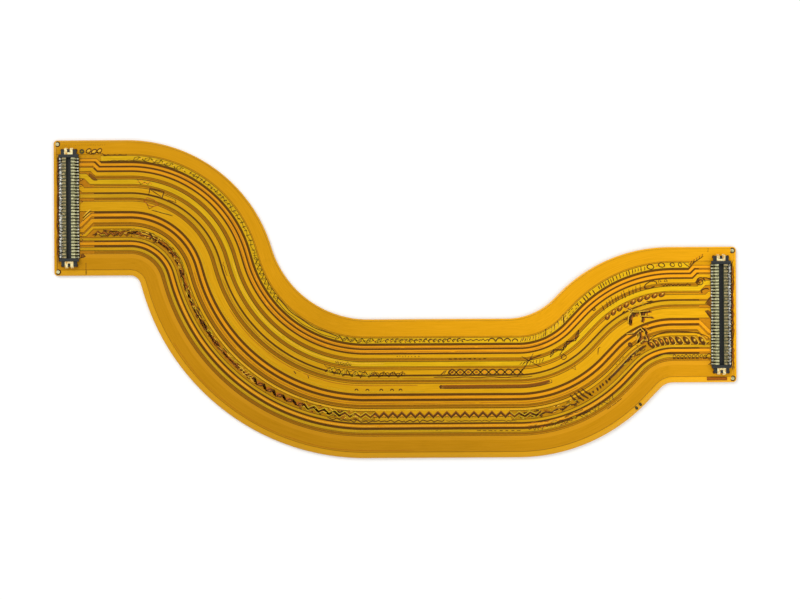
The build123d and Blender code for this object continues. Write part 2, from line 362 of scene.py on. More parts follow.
class Shader:
    """A node material with short calls for the nodes that the finishes share."""

    def __init__(self, name):
        self.material = bpy.data.materials.new(name)
        self.material.use_nodes = True
        self.tree = self.material.node_tree

    def set(self, **values):
        """Values or outputs on the surface's own sockets."""
        named = {name.replace("_", " "): value for name, value in values.items()}
        fill(self.tree, self.tree.nodes["Principled BSDF"], named)

    def map(self, scale, label="flat"):
        """A pair stored with the mesh, scaled for a texture."""
        pair = add_node(self.tree, "UVMap", {}, uv_map=label)
        return add_node(self.tree, "VectorMath", {0: pair, 1: scale}, operation="MULTIPLY")

    def place(self, scale):
        """The point in space, scaled for a texture."""
        point = add_node(self.tree, "TexCoord", {}, "Object")
        return add_node(self.tree, "VectorMath", {0: point, "Scale": scale}, operation="SCALE")

    def part(self, vector, axis):
        return add_node(self.tree, "SeparateXYZ", {0: vector}, axis)

    def noise(self, vector, detail=3.0, roughness=0.55):
        inputs = {"Vector": vector, "Scale": 1.0, "Detail": detail, "Roughness": roughness}
        return add_node(self.tree, "TexNoise", inputs, "Fac")

    def ramp(self, value, stops, interpolation="LINEAR"):
        """A colour ramp from (place, colour) stops."""
        shown = add_node(self.tree, "ValToRGB", {0: value})
        ramp = shown.node.color_ramp
        ramp.interpolation = interpolation
        while len(ramp.elements) < len(stops):
            ramp.elements.new(0.5)
        for element, (place, colour) in zip(ramp.elements, stops):
            element.position = place
            element.color = colour
        return shown

    def fade(self, value, *stops, interpolation="LINEAR"):
        """Grey levels, as seen by eye, from (place, level) stops."""
        return self.ramp(value, [(place, grey(level)) for place, level in stops], interpolation)

    def mix(self, share, first, second, blend="MIX"):
        inputs = {0: share, 6: first, 7: second}
        return add_node(self.tree, "Mix", inputs, 2, data_type="RGBA", blend_type=blend)

    def vary(self, share, colour, low, high):
        """A colour that wanders between two factors of itself."""
        return self.mix(share, linear(colour, low), linear(colour, high))

    def math(self, operation, first, second=0.0):
        return add_node(self.tree, "Math", {0: first, 1: second}, operation=operation)

    def apart(self, first, second):
        """The distance between two values."""
        return self.math("ABSOLUTE", self.math("SUBTRACT", first, second))

    def bump(self, height, strength, distance):
        inputs = {"Height": height, "Strength": strength, "Distance": distance}
        self.set(Normal=add_node(self.tree, "Bump", inputs))


def grey(level):
    """A grey that multiplies a colour by level, as seen by eye."""
    return (level**2.2, level**2.2, level**2.2, 1.0)


# Painted light falloff: the laminate is painted a little paler at its right end and deeper in its lower
# middle
low_light_falloff = (
    (0.0, 0.98), (0.28, 0.98), (0.42, 0.92), (0.62, 0.93), (0.78, 1.03), (0.90, 1.11), (1.0, 1.17),
)
high_light_falloff = (
    (0.0, 0.97), (0.28, 1.01), (0.42, 0.97), (0.60, 1.08), (0.78, 1.12), (0.90, 1.12), (1.0, 1.18),
)


def with_painted_light_falloff(shader, colour, along, across):
    """The colour times a painted light falloff that changes slowly along and across the laminate."""
    tone = shader.mix(across, shader.fade(along, *low_light_falloff), shader.fade(along, *high_light_falloff))
    return shader.mix(1.0, colour, tone, "MULTIPLY")


def cable_places(shader):
    """Shares from 0 to 1 along and across the cable."""
    flat = shader.map((map_span / cable_length, map_span / tail_width, 1.0))
    return shader.part(flat, 0), shader.part(flat, 1)


def lane_material(name, colour, streak, edge_shade_level=0.45, pale_bands=()):
    """Copper under a clear amber coat: long streaks, painted shade on the edges, a soft gloss."""
    shader = Shader(name)
    along, across = cable_places(shader)
    streaks = shader.noise(shader.map((30.0, 900.0, 1.0)), 4.0)
    blotches = shader.noise(shader.map((60.0, 150.0, 1.0)))
    base = linear(colour)
    deep = (*[channel * 0.62 for channel in base[:3]], 1.0)
    pale = (*[min(channel * 1.30 + 0.012, 1.0) for channel in base[:3]], 1.0)
    body = shader.mix(shader.fade(streaks, (0.30, 0), (0.72, 1)), deep, pale)
    body = shader.mix(1.0 - streak * 2.4, body, base)
    body = shader.mix(shader.fade(blotches, (0.55, 0), (0.85, 0.5)), body, deep)
    if pale_bands:
        bands = shader.mix(1.0, band_mask(shader, across, pale_bands), grey(0.62), "MULTIPLY")
        body = shader.mix(bands, body, pale)
    edge = shader.part(shader.map((1.0, edge_span, 1.0), "lane"), 1)
    # Painted shade: the lane's side walls and shoulders are darkened.
    painted_edge_shade = shader.fade(edge, (0.0, edge_shade_level), (0.03, edge_shade_level), (0.09, 1.0))
    body = shader.mix(1.0, body, painted_edge_shade, "MULTIPLY")
    rough = shader.fade(streaks, (0.2, 0.60), (0.8, 0.72))
    shader.set(Base_Color=with_painted_light_falloff(shader, body, along, across), Roughness=rough)
    shader.set(Specular_IOR_Level=0.12, Coat_Weight=0.12, Coat_Roughness=0.12)
    shader.bump(streaks, 0.25, 0.00002)
    return shader.material


def band_mask(shader, across, bands):
    """White where across lies in one of the bands, and black elsewhere."""
    stops = [(0.0, 0)]
    for low, high in bands:
        stops += [(low / tail_width, 1), (high / tail_width, 0)]
    return shader.fade(across, *stops, interpolation="CONSTANT")


def end_mask(shader, along, share):
    """White within a share of the cable's length from both ends, and black between."""
    return shader.fade(along, (0.0, 1), (share, 0), (1 - share, 1), interpolation="CONSTANT")


def film_material():
    """Amber film: pale margins, dark in the narrow gaps between lanes, brown in wide ones."""
    shader = Shader("amber_film")
    along, across = cable_places(shader)
    grain = shader.noise(shader.map((120.0, 900.0, 1.0)), 4.0)
    mottle = shader.noise(shader.map((260.0, 520.0, 1.0)), 4.0, 0.65)
    plain = shader.vary(mottle, "ground", 0.72, 1.05)
    groove = shader.vary(mottle, "film_open", 0.6, 1.2)
    early = shader.fade(along, (0.10, 0.3), (0.16, 0.9), (0.40, 0.9), (0.48, 0.25))
    shore = shader.mix(early, plain, groove)
    field = shader.vary(mottle, "film_gap", 0.9, 2.0)
    channel = shader.vary(mottle, "film_channel", 0.6, 1.3)
    for bands, colour in ((open_bands, shore), (groove_bands, groove), (channel_bands, channel)):
        field = shader.mix(band_mask(shader, across, bands), field, colour)
    fan = shader.vary(mottle, "film_open", 1.0, 1.9)
    field = shader.mix(end_mask(shader, along, fan_share), field, fan)
    field = shader.mix(band_mask(shader, across, strip_bands), field, plain)
    tip = shader.vary(mottle, "film_edge", 0.70, 1.15)
    field = shader.mix(end_mask(shader, along, end_share), field, tip)
    inside = band_mask(shader, across, [(edge_margin + 0.1, tail_width - upper_edge_margin - 0.1)])
    body = shader.mix(inside, shader.vary(grain, "film_edge", 0.82, 1.08), field)
    shader.set(Base_Color=with_painted_light_falloff(shader, body, along, across), Roughness=0.40)
    shader.set(Specular_IOR_Level=0.15, Coat_Weight=0.15, Coat_Roughness=0.12)
    shader.bump(grain, 0.2, 0.00002)
    return shader.material


def ink_material(name, colour, wander=0.5):
    """Etched and stitched marks in the copper, seen through the film."""
    shader = Shader(name)
    grain = shader.noise(shader.place(9000.0))
    shader.set(Base_Color=shader.vary(grain, colour, 1.0 - wander * 0.5, 1.0 + wander))
    shader.set(Roughness=0.5, Specular_IOR_Level=0.12, Coat_Weight=0.1, Coat_Roughness=0.15)
    shader.bump(grain, 0.3, 0.00001)
    return shader.material


def metal_material(name, dark, bright, roughness, scale, metallic=0.0):
    """Plated metal or solder with uneven tone and small dents. For gold and solder, the pale end of the
    tone is a painted highlight.
    """
    shader = Shader(name)
    grain = shader.noise(shader.place(scale), 4.0, 0.6)
    tone = shader.ramp(grain, [(0.32, linear(dark)), (0.62, linear(bright))])
    rough = shader.fade(grain, (0.3, roughness + 0.12), (0.7, roughness))
    shader.set(Base_Color=tone, Roughness=rough, Metallic=metallic)
    shader.bump(grain, 0.35, 0.00003)
    return shader.material


def moulding_material():
    """Black glass-filled moulding, faintly blue in its trough, with a fine grain."""
    shader = Shader("black_moulding")
    grain = shader.noise(shader.place(14000.0), 4.0, 0.6)
    smear = shader.fade(shader.noise(shader.place(1600.0), 2.0), (0.5, 0), (0.8, 0.7))
    tone = shader.mix(grain, linear((24, 26, 27)), linear((52, 55, 54)))
    tone = shader.mix(smear, tone, linear((60, 60, 52)))
    point = shader.place(1 / MM)
    x = shader.math("ABSOLUTE", shader.part(point, 0))
    y = shader.part(point, 1)
    in_rows = 0.0
    for plug in (left_plug, right_plug):
        beside = shader.math("LESS_THAN", shader.apart(y, plug[1]), row_length / 2)
        in_rows = shader.math("MAXIMUM", in_rows, beside)
    on_wall = shader.math("GREATER_THAN", shader.apart(x, right_plug[0]), trough_width / 2)
    tone = shader.mix(shader.math("MULTIPLY", on_wall, in_rows), tone, linear((92, 90, 58)))
    shader.set(Base_Color=tone, Roughness=0.46)
    shader.bump(grain, 0.35, 0.00002)
    return shader.material


# Low and high side of each lane, its fan-out as (shift, lead), and the bands across the
# cable where the film shows between lanes
lane_sides = {}
fans = {}
open_bands = []
groove_bands = []
groove_shore = 0.09
channel_bands = []
strip_bands = [(14.90, tail_width - upper_edge_margin)]
fan_share = 5.0 / cable_length
end_share = 1.0 / cable_length
level = 0.0
for lane_name, lane_gap, lane_width, lane_colour, lead, shift in lane_rows:
    if lane_gap == open_gap:
        open_bands.append((level, level + lane_gap))
        groove_bands.append((level + groove_shore, level + lane_gap - groove_shore))
    if lane_gap == tooth_channel:
        channel_bands.append((level, level + lane_gap))
        closed_level = level
    level += lane_gap
    lane_sides[lane_name] = (level, level + lane_width)
    if shift == "follows":
        shift = closed_level + hair_gap - level
        closed_level += hair_gap + lane_width
    if shift is not None:
        fans[lane_name] = (shift, lead)
    level += lane_width

# The ground bands are paler along their inner side and beside the margin
ground_bands = ((2.20, 2.86), (0.7, 0.86))
materials = {
    "film": film_material(),
    "moulding": moulding_material(),
    # Solder: the near-white pale end is a painted highlight, on a surface that is not metallic
    "solder": metal_material("solder", (110, 102, 76), (255, 255, 244), 0.42, 3000.0),
    "contact": metal_material("plated_contact", (128, 126, 84), (232, 228, 176), 0.45, 4200.0, 0.1),
    "tail": metal_material("soldered_contact", (46, 42, 28), (190, 172, 122), 0.45, 3600.0),
    # Gold plating: the cream pale end is a painted highlight, on a surface that is not metallic
    "gold": metal_material("gold_plating", (206, 142, 36), (255, 248, 190), 0.42, 3400.0),
    "ring": metal_material("locating_ring", (44, 38, 24), (96, 86, 50), 0.5, 3000.0, 0.2),
    "stiffener": ink_material("stiffener_board", (150, 104, 34), 0.3),
}
streak_shares = {"olive": 0.20, "orange": 0.18, "amber": 0.16, "yellow": 0.14, "lime": 0.20}
for coat, streak_share in streak_shares.items():
    materials[coat] = lane_material("coated_" + coat, coat, streak_share)
for coat in ("ground", "low_ground"):
    materials[coat] = lane_material("coated_" + coat, coat, 0.10, 0.78, ground_bands)


def film_section(s):
    """Cross-section of the film at s, with slightly rounded long edges."""
    cut = corner_cut(s)
    low = cut
    high = film_width(s) - cut
    soft = 0.03
    inner = [edge_margin, 2.60, 5.2, 7.8, 10.4, 13.0, 15.4]
    top = [(min(max(w, low + soft), high - soft), film_top, 1.0) for w in inner]
    return (
        [(low, film_bottom, 0.0), (low, film_top - soft, 0.0), (low + soft, film_top, 0.0)]
        + top
        + [(high - soft, film_top, 0.0), (high, film_top - soft, 0.0), (high, film_bottom, 0.0)]
    )


def build_film():
    """The base film over its whole outline."""
    corner = [end_corner_radius * share for share in (0.0, 0.03, 0.1, 0.2, 0.35, 0.55, 0.8, 1.0)]
    ends = corner + [cable_length - place for place in corner]
    stations = spread(0, cable_length, station_step, ends)
    film = swept("amber_base_film", stations, film_section, materials["film"])
    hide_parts("flex_base_film")


def jog(s, side_w, half, fan):
    """Height of one side of a lane at s, with its 45 degree jogs near both plugs."""
    if fan is None:
        return side_w
    shift, lead = fan
    lean = half * tan(pi / 8) * copysign(1, shift)
    from_plug = min(s, cable_length - s) - lane_start
    share = (from_plug - lead - lean) / abs(shift)
    return side_w + shift * (1 - min(max(share, 0), 1))


def tooth_breaks():
    """Places of the teeth along the straight middle run: first valley, then peak, in turn."""
    margin = 0.6
    start = middle_start + margin
    finish = middle_end - margin
    count = int((finish - start) / tooth_pitch)
    first = (start + finish - count * tooth_pitch) / 2
    return first, count


tooth_first, tooth_count = tooth_breaks()


def zigzag(start, count, top, height):
    """A line of count teeth that hang down from top, as a path."""
    path = []
    for index in range(2 * count + 1):
        path.append((start + index * tooth_pitch / 2, top - height * (index % 2)))
    return path


def tooth_wave(s):
    """From 0 at a peak to 1 at a valley of the teeth, or None outside their run."""
    place = (s - tooth_first) / tooth_pitch
    if place <= 0 or place >= tooth_count:
        return None
    return 1 - abs(2 * (place % 1) - 1)


def lane_limits(name, s):
    """Low and high side of a lane at s."""
    low, high = lane_sides[name]
    half = (high - low) / 2
    fan = fans.get(name)
    low_w = jog(s, low, -half, fan)
    high_w = jog(s, high, half, fan)
    wave = tooth_wave(s)
    if wave is not None:
        top = lane_sides["trace_04"][0]
        if name == "trace_03":
            high_w = max(high, top - tooth_gap - tooth_height * wave)
        if name == "trace_04":
            low_w = top - tooth_height * wave
    return low_w, high_w


def lane_section(low, high):
    """Cross-section of a lane on the film: rounded shoulders and a flat top."""
    soft = min(0.03, (high - low) * 0.2)
    far = min(0.14, (high - low) * 0.4)
    rising = [
        (0.0, film_top, 0.0),
        (0.0, copper_top - soft, 0.0),
        (soft * 0.3, copper_top - soft * 0.3, 0.01),
        (soft, copper_top, 0.03),
        (far, copper_top, 0.14),
    ]
    near_side = [(low + inset, z, edge) for inset, z, edge in rising]
    far_side = [(high - inset, z, edge) for inset, z, edge in reversed(rising)]
    return near_side + [((low + high) / 2, copper_top, 0.3)] + far_side


def build_lane(name, colour):
    """One copper lane from plug to plug."""
    start = lane_start
    extra = []
    low, high = lane_sides[name]
    if name in fans:
        shift, lead = fans[name]
        half = (high - low) / 2 * tan(pi / 8)
        for lean in (-half, half):
            for place in (lead + lean, lead + lean + abs(shift)):
                extra += [lane_start + place, cable_length - lane_start - place]
    if name in ("trace_03", "trace_04"):
        extra += [s for s, w in zigzag(tooth_first, tooth_count, 0.0, 0.0)]
    if name == "via_strip":
        start += sum(fans["trace_13"])

    def section(s):
        return lane_section(*lane_limits(name, s))

    stations = spread(start, cable_length - start, station_step, extra)
    lane = swept(name + "_coated", stations, section, materials[colour])
    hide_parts(name)


def build_ground(name):
    """A wide ground band. Beside the pads of a plug it draws back."""
    low, high = lane_sides[name]
    is_lower = name == "lower_ground_band"
    ground_end = 0.30
    clear = row_length / 2 + pad_clearance
    clear_from = plug_from_end - pad_end - pad_clearance
    clear_to = plug_from_end + pad_end + pad_clearance
    middle = tail_width / 2

    def section(s):
        low_w = low
        high_w = high if is_lower else film_width(s) - upper_edge_margin
        from_end = min(s, cable_length - s)
        if clear_from <= from_end <= clear_to:
            if is_lower:
                high_w = min(high_w, middle - clear)
            else:
                low_w = max(low_w, middle + clear)
        return lane_section(low_w, high_w)

    extra = []
    for place in (clear_from, clear_to):
        for nudge in (-0.001, 0.001):
            extra += [place + nudge, cable_length - place + nudge]
    stations = spread(ground_end, cable_length - ground_end, station_step, extra)
    material = materials["low_ground" if is_lower else "ground"]
    band = swept(name + "_coated", stations, section, material)
    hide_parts(name)


build_film()
for lane_name, _, _, lane_colour, _, _ in lane_rows:
    if lane_colour == "ground":
        build_ground(lane_name)
    else:
        build_lane(lane_name, lane_colour)


# Marks in the copper under the film: etched lines, stitching, vias and brown patches


def dense(path):
    """The same path with its long stretches divided, so that it follows the bends."""
    result = [path[0]]
    for (s, w), (next_s, next_w) in zip(path, path[1:]):
        count = max(1, ceil(abs(next_s - s) / 0.6))
        for index in range(1, count + 1):
            share = index / count
            result.append((s + (next_s - s) * share, w + (next_w - w) * share))
    return result


class Ink:
    """Gathers raised strokes and patches in cable places, to be made into one piece.

    Marks are placed by s, and by w as measured from the base that is set at the time.
    """

    base = 0.0

    def __init__(self, name, height, material, boldness=1.0):
        self.name = name
        self.top = copper_top + height
        self.material = material
        self.boldness = boldness
        self.points = []
        self.faces = []
        self.flat = []

    def put(self, s, w, z):
        w += Ink.base
        self.points.append((*lower_edge.at(s, w), z))
        self.flat.append((s / map_span, w / map_span))

    def stroke(self, path, width=0.10):
        """A raised line along a path of (s, w) places, a little thinner at its ends."""
        path = dense(path)
        first = len(self.points)
        last = len(path) - 1
        for index, (s, w) in enumerate(path):
            before = path[max(index - 1, 0)]
            after = path[min(index + 1, last)]
            ahead = (after[0] - before[0], after[1] - before[1])
            length = hypot(*ahead) or 1.0
            half = width / 2 * self.boldness * (0.6 if index in (0, last) else 1.0)
            side = (-ahead[1] / length * half, ahead[0] / length * half)
            for sign, z in ((1, ink_foot), (0.8, self.top), (-0.8, self.top), (-1, ink_foot)):
                self.put(s + sign * side[0], w + sign * side[1], z)
        for index in range(last):
            here = first + index * 4
            for step in range(3):
                self.faces.append((here + step, here + step + 1, here + step + 5, here + step + 4))
        self.faces.append((first + 3, first + 2, first + 1, first))
        end = first + last * 4
        self.faces.append((end, end + 1, end + 2, end + 3))

    def patch(self, outline):
        """A raised flat patch inside a counter-clockwise outline of (s, w) places."""
        outline = dense(outline + outline[:1])[:-1]
        first = len(self.points)
        count = len(outline)
        for s, w in outline:
            self.put(s, w, ink_foot)
        for s, w in outline:
            self.put(s, w, self.top)
        for index in range(count):
            after = (index + 1) % count
            low = first + index
            self.faces.append((low, first + after, first + count + after, low + count))
        self.faces.append(tuple(range(first + count, first + 2 * count)))

    def disc(self, s, w, *shape):
        """A raised oval patch."""
        self.patch(oval(s, w, *shape)[:-1])

    def make(self):
        maps = {"flat": self.flat}
        make_piece(self.name, self.points, self.faces, maps, self.material)


def curve(start, finish, level, height, pitch, samples=8, phase=0.0):
    """A wavy line between two stations."""
    count = max(2, round((finish - start) / pitch * samples))
    path = []
    for index in range(count + 1):
        s = start + (finish - start) * index / count
        turn = 2 * pi * ((s - start) / pitch) + phase
        path.append((s, level + height / 2 * sin(turn)))
    return path


def oval(s, w, length, height, lean=0.0, sides=14, share=1.0, start=0.0):
    """Places round an oval, or round a share of it from a start angle in turns."""
    path = []
    for index in range(sides + 1):
        turn = 2 * pi * (start + share * index / sides)
        across = height / 2 * sin(turn)
        path.append((s + length / 2 * cos(turn) + across * lean, w + across))
    return path


def uneven(start, finish, pitch, low=1.0, high=1.0):
    """Places from start to finish, each between low and high pitches after the last."""
    s = start
    while s < finish:
        yield s
        s += pitch if low == high else pitch * between(low, high)


def ticks(ink, start, finish, low, high, pitch, lean=0.0, width=0.09, wander=0.25):
    """Short lines across a lane, with uneven spacing and ends."""
    for s in uneven(start, finish, pitch, 1 - wander, 1 + wander):
        foot = low + between(0, wander) * (high - low)
        head = high - between(0, wander) * (high - low)
        bend = lean * between(0.6, 1.4)
        middle = (s + bend * 0.6, (foot + head) / 2)
        ink.stroke([(s, foot), middle, (s + bend, head)], width * between(0.8, 1.2))


def chain(ink, start, finish, level, length, height, pitch, width=0.09, lean=0.0, share=1.0, turn=0.0):
    """A row of ovals or part ovals."""
    for s in uneven(start + length / 2, finish, pitch):
        size = between(0.85, 1.15)
        spot = level + between(-0.05, 0.05)
        ink.stroke(oval(s, spot, length * size, height * size, lean, 12, share, turn), width)


def scribble(ink, start, finish, low, high, step, width=0.08):
    """A restless line that stays between two levels."""
    path = []
    for s in uneven(start, finish, step, 0.4, 1.6):
        share = between(0.0, 0.45) if len(path) % 2 else between(0.55, 1.0)
        path.append((s, low + share * (high - low)))
    ink.stroke(path, width)


def dashes(ink, start, finish, level, length, gap, width=0.08):
    """A broken line along a lane."""
    for s in uneven(start, finish, length + gap):
        dash_end = s + length * between(0.7, 1.3)
        ink.stroke([(s, level), (dash_end, level + between(-0.03, 0.03))], width)


def dots(ink, start, finish, level, size, pitch):
    """Small round spots along a lane."""
    for s in uneven(start, finish, pitch, 0.8, 1.2):
        spot = level + between(-0.04, 0.04)
        ink.disc(s, spot, size * between(0.8, 1.2), size)


def leaves(ink, start, finish, low, high, pitch, width=0.09):
    """Pointed leaves, two arcs each, that lean both ways in turn."""
    middle = (low + high) / 2
    lean = 1
    for s in uneven(start, finish, pitch):
        rise = (high - low) / 2 * between(0.7, 1.0) * lean
        reach = pitch * between(0.4, 0.6)
        for bulge in (-0.12, 0.12):
            top = (s + reach, middle + rise)
            ink.stroke([(s - reach, middle - rise), (s - bulge, middle + bulge), top], width)
        lean = -lean


def spiral(ink, s, w, radius, turns, sides=14):
    """A line that winds in to a point."""
    steps = int(turns * sides)
    path = []
    for index in range(steps):
        turn = 2 * pi * index / sides
        reach = radius * (1 - 0.8 * index / steps)
        path.append((s + reach * cos(turn), w + reach * sin(turn)))
    ink.stroke(path)


def mottle(start, finish, low, high, pitch):
    """Mixed dark and pale flecks, as in the channel between the toothed lanes."""
    for s in uneven(start, finish, pitch, 0.3, 0.8):
        w = between(low, high)
        length = pitch * between(0.6, 1.8)
        rise = between(-0.18, 0.18)
        ink = chance.choice((dark, dark, rust, cream, lime))
        path = [(s, w), (s + length / 2, w + rise), (s + length, w + rise * 0.4)]
        ink.stroke(path, between(0.06, 0.13))


chance = random.Random(7)
between = chance.uniform
dark = Ink("etched_lines_dark", 0.009, ink_material("etched_dark", "dark"), 1.45)
brown = Ink("etched_patches_brown", 0.004, ink_material("etched_brown", "brown"))
rust = Ink("etched_lines_rust", 0.007, ink_material("etched_rust", "rust"), 1.2)
cream = Ink("raised_lines_pale", 0.013, ink_material("raised_pale", "cream", 0.3), 1.2)
# Lime lines and flecks; those along the channel are painted highlights
lime = Ink("raised_lines_lime", 0.011, ink_material("raised_lime", "stitch", 0.3))
stitchery = Ink("stitching_olive", 0.008, ink_material("stitching_olive", (118, 92, 8)), 1.3)
glow = Ink("raised_spots_orange", 0.012, ink_material("raised_orange", (226, 140, 28), 0.3))
# Painted shadow, with some dark flux, on the film between and beside the contact tails
shade = Ink("plug_shade", 0.002, ink_material("plug_shade", (38, 36, 30), 0.3))
curls = Ink("solder_curls", 0.16, materials["solder"])

via_low = lane_sides["via_strip"][0]
channel_middle = (lane_sides["trace_03"][1] + lane_sides["trace_04"][0]) / 2


def lane_middle(number):
    """Middle of a numbered trace."""
    low, high = lane_sides["trace_%02d" % number]
    return (low + high) / 2


def gap_below(number):
    """Middle of the open gap below a numbered trace."""
    return lane_sides["trace_%02d" % number][0] - open_gap / 2


def mark_stitched_strip():
    """The narrow strip below the upper ground band, w being from the strip's lower side."""
    scribble(dark, 6.6, 10, 0.72, 0.89, 0.45, 0.07)
    dots(cream, 10.8, 14.6, 0.385, 0.2, 0.9)
    scribble(dark, 7, 14.6, 0, 0.2, 0.5, 0.06)
    leaves(stitchery, 10.4, 14.6, 0.1, 0.67, 0.45, 0.08)
    dots(dark, 15, 19, 0.435, 0.11, 0.36)
    ticks(stitchery, 15, 24.4, 0.1, 0.72, 0.36, 0.08, 0.1)
    scribble(stitchery, 15, 25.4, 0.15, 0.62, 0.4)
    leaves(stitchery, 24.6, 33.6, 0.1, 0.77, 0.5, 0.11)
    dashes(dark, 25.8, 32.4, 0.69, 0.5, 0.35, 0.1)
    dark.stroke(curve(32.6, 46.4, 0.61, 0.1, 5.2))
    dark.stroke(curve(32.8, 46.2, 0.22, 0.08, 3.9), 0.07)
    leaves(stitchery, 46.4, 54, 0.05, 0.77, 0.7, 0.12)
    scribble(stitchery, 46.4, 64.5, 0.15, 0.67, 0.3, 0.09)
    chain(dark, 54.2, 64.5, 0.405, 0.4, 0.36, 0.62, 0.11, 0.4, 0.7, 0.1)
    dots(glow, 47, 64, 0.385, 0.16, 1.9)
    scribble(dark, 64.4, 67.8, 0.285, 0.585, 0.3, 0.1)
    chain(dark, 67.6, 71.6, 0.18, 0.8, 0.8, 1, 0.12, 0, 0.5)
    ticks(dark, 71.8, 77.4, 0.05, 0.77, 0.62, 0.52, 0.12)
    ticks(cream, 72, 77.4, 0.15, 0.67, 0.62, 0.52, 0.1)
    ticks(dark, 77.6, 83, 0, 0.92, 1.15, 1, 0.15)
    ticks(cream, 78.1, 83, 0.05, 0.87, 1.15, 1, 0.13)
    dashes(dark, 82.6, 85.4, 0.57, 0.42, 0.25, 0.12)
    dashes(dark, 82.8, 85.3, 0.2, 0.34, 0.22, 0.12)
    ticks(dark, 85.5, 87.4, 0, 0.77, 0.34, 0.02)
    ticks(dark, 87.8, 92.2, 0.05, 0.77, 0.27, 0.05, 0.07)
    chain(dark, 92.3, 96.2, 0.465, 0.48, 0.56, 0.95, 0.09, -0.2)
    rising = [(95.8, 0.735), (96.6, 0.1), (97.2, 0.75), (98.4, 1.52)]
    dark.stroke(rising, 0.09)
    for step in range(5):
        s = 96.7 + 0.36 * step
        dark.stroke([(s, 0.42 + 0.22 * step), (s + 0.22, 0.95 + 0.22 * step)], 0.08)
        glow.disc(s + 0.05, 0.85 + 0.22 * step, 0.16, 0.16)
    glow.disc(93.1, 0.435, 0.2, 0.22)


def mark_channel_weave():
    """The channel from the left plug to its teeth, w being from the channel's middle."""
    weave = [(5.2 + 0.42 * index, 0.22 if index % 2 else -0.18) for index in range(12)]
    rust.stroke(weave, 0.17)
    dark.stroke([(s + 0.1, w + 0.1) for s, w in weave], 0.08)
    dark.stroke([(s + 0.05, w - 0.22) for s, w in weave], 0.07)
    mottle(5, 15.8, -0.45, 0.5, 0.42)
    mottle(8, 16, 0, 0.55, 0.5)
    rust.stroke(curve(9.8, 25.4, -0.05, 0.16, 4.1, 8, 0.5), 0.17)
    dark.stroke(curve(10.2, 32.4, -0.1, 0.14, 2.3))
    for shift in (0, 0.13, -0.12):
        scribble(rust, 14, 39, -0.15 + shift, 0.1 + shift, 0.32, 0.12)
    scribble(dark, 14, 39, -0.2, 0.08, 0.3, 0.1)
    mottle(14, 38, -0.25, 0.35, 0.55)
    # Painted highlight: a broken lime line along the channel's upper edge
    dashes(lime, 14, 39, 0.43, 0.9, 0.3)
    for start, finish, level in ((10, 14.6, 0.17), (13.8, 19.6, 0.21), (18, 24, 0.25)):
        pitch = 2 * (finish - start)
        # Painted highlight: lime arcs along the channel's upper edge
        lime.stroke(curve(start, finish, 0.53, 0.2, pitch, 12), 0.09)
        dark.stroke(curve(start, finish, level, 0.3, pitch, 12), 0.07)
    ticks(cream, 22, 22.9, -0.2, 0.25, 0.3, 0.2, 0.1)
    mottle(25.4, 32.6, -0.3, 0.35, 0.3)
    dark.stroke(curve(25.6, 33, 0.12, 0.2, 1.3), 0.11)
    dark.stroke(curve(32.6, 37.6, 0, 0.1, 2.8), 0.08)
    ticks(cream, 36.3, 38, -0.25, 0.45, 0.34, 0.3, 0.08)
    leaves(rust, 37.8, 49, -0.3, 0.3, 0.62, 0.24)
    leaves(dark, 38, 49, -0.35, 0.35, 0.62, 0.12)
    mottle(44, 51, -0.55, 0.65, 0.24)


def mark_teeth():
    """The teeth and the channel beyond them, w being from the channel's middle."""
    top = tooth_channel / 2
    tooth_line(tooth_first - 7 * tooth_pitch, 7, top)
    tooth_line(tooth_first + tooth_count * tooth_pitch, 3, top)
    valleys = zigzag(tooth_first, tooth_count, top - tooth_gap / 2, tooth_height)
    rust.stroke(valleys, 0.36)
    dark.stroke([(s, w - 0.04) for s, w in valleys], 0.25)
    for s, w in valleys[::2]:
        glow.disc(s, w - 0.42, 0.26, 0.2)
        dark.stroke([(s - 0.3, w - 0.62), (s, w - 0.52), (s + 0.3, w - 0.62)], 0.09)
    scribble(dark, 47.4, 62, -0.88, -0.54, 0.42, 0.11)
    scribble(dark, 62, 71.4, -0.81, -0.61, 0.5, 0.07)
    dark.stroke(curve(71.4, 77.6, -0.1, 0.22, 1.25), 0.13)
    mottle(71.4, 78, -0.45, 0.5, 0.26)
    ticks(dark, 77.8, 79.6, -0.35, 1.3, 0.52, -0.45, 0.16, 0.1)
    ticks(dark, 79.2, 81.8, -0.2, 0.3, 0.42, 0.06, 0.16)
    dark.stroke([(81.6, 0.1), (84, 0.08), (89.2, 0.12)], 0.2)
    cream.stroke([(82, 0.32), (85, 0.3), (88.6, 0.36)], 0.08)
    mottle(84, 88.4, -0.3, 0.3, 0.34)
    dashes(dark, 83.4, 85, 0.77, 0.34, 0.22, 0.1)
    for step in range(9):
        s = 90.2 + step
        size = 1 - 0.04 * step
        brown.disc(s, 0, 0.74 * size, 0.86, -0.5)
        dark.stroke(oval(s, 0, 0.8 * size, 0.96, -0.5, 12, 0.62, 0.3), 0.17)
        cream.stroke(oval(s + 0.1, -0.05, 0.96 * size, 1.04, -0.5, 12, 0.5, 0.75), 0.11)
        (glow if step < 5 else cream).disc(s + 0.03, 0, 0.3, 0.34)
    dark.stroke(oval(94.4, 0.1, 9.4, 2.1, 0, 24, 0.5), 0.08)
    dark.stroke([(97.4, -0.35), (98.5, -0.65), (99.2, -0.2)], 0.09)


def tooth_line(start, count, top):
    """Lines that carry the teeth on beyond the straight run."""
    rows = ((0.08, lime, 0.16), (0.25, rust, 0.26), (0.28, dark, 0.14), (0.54, lime, 0.12))
    for drop, ink, width in rows:
        ink.stroke(zigzag(start, count, top - drop, tooth_height * 0.8), width)


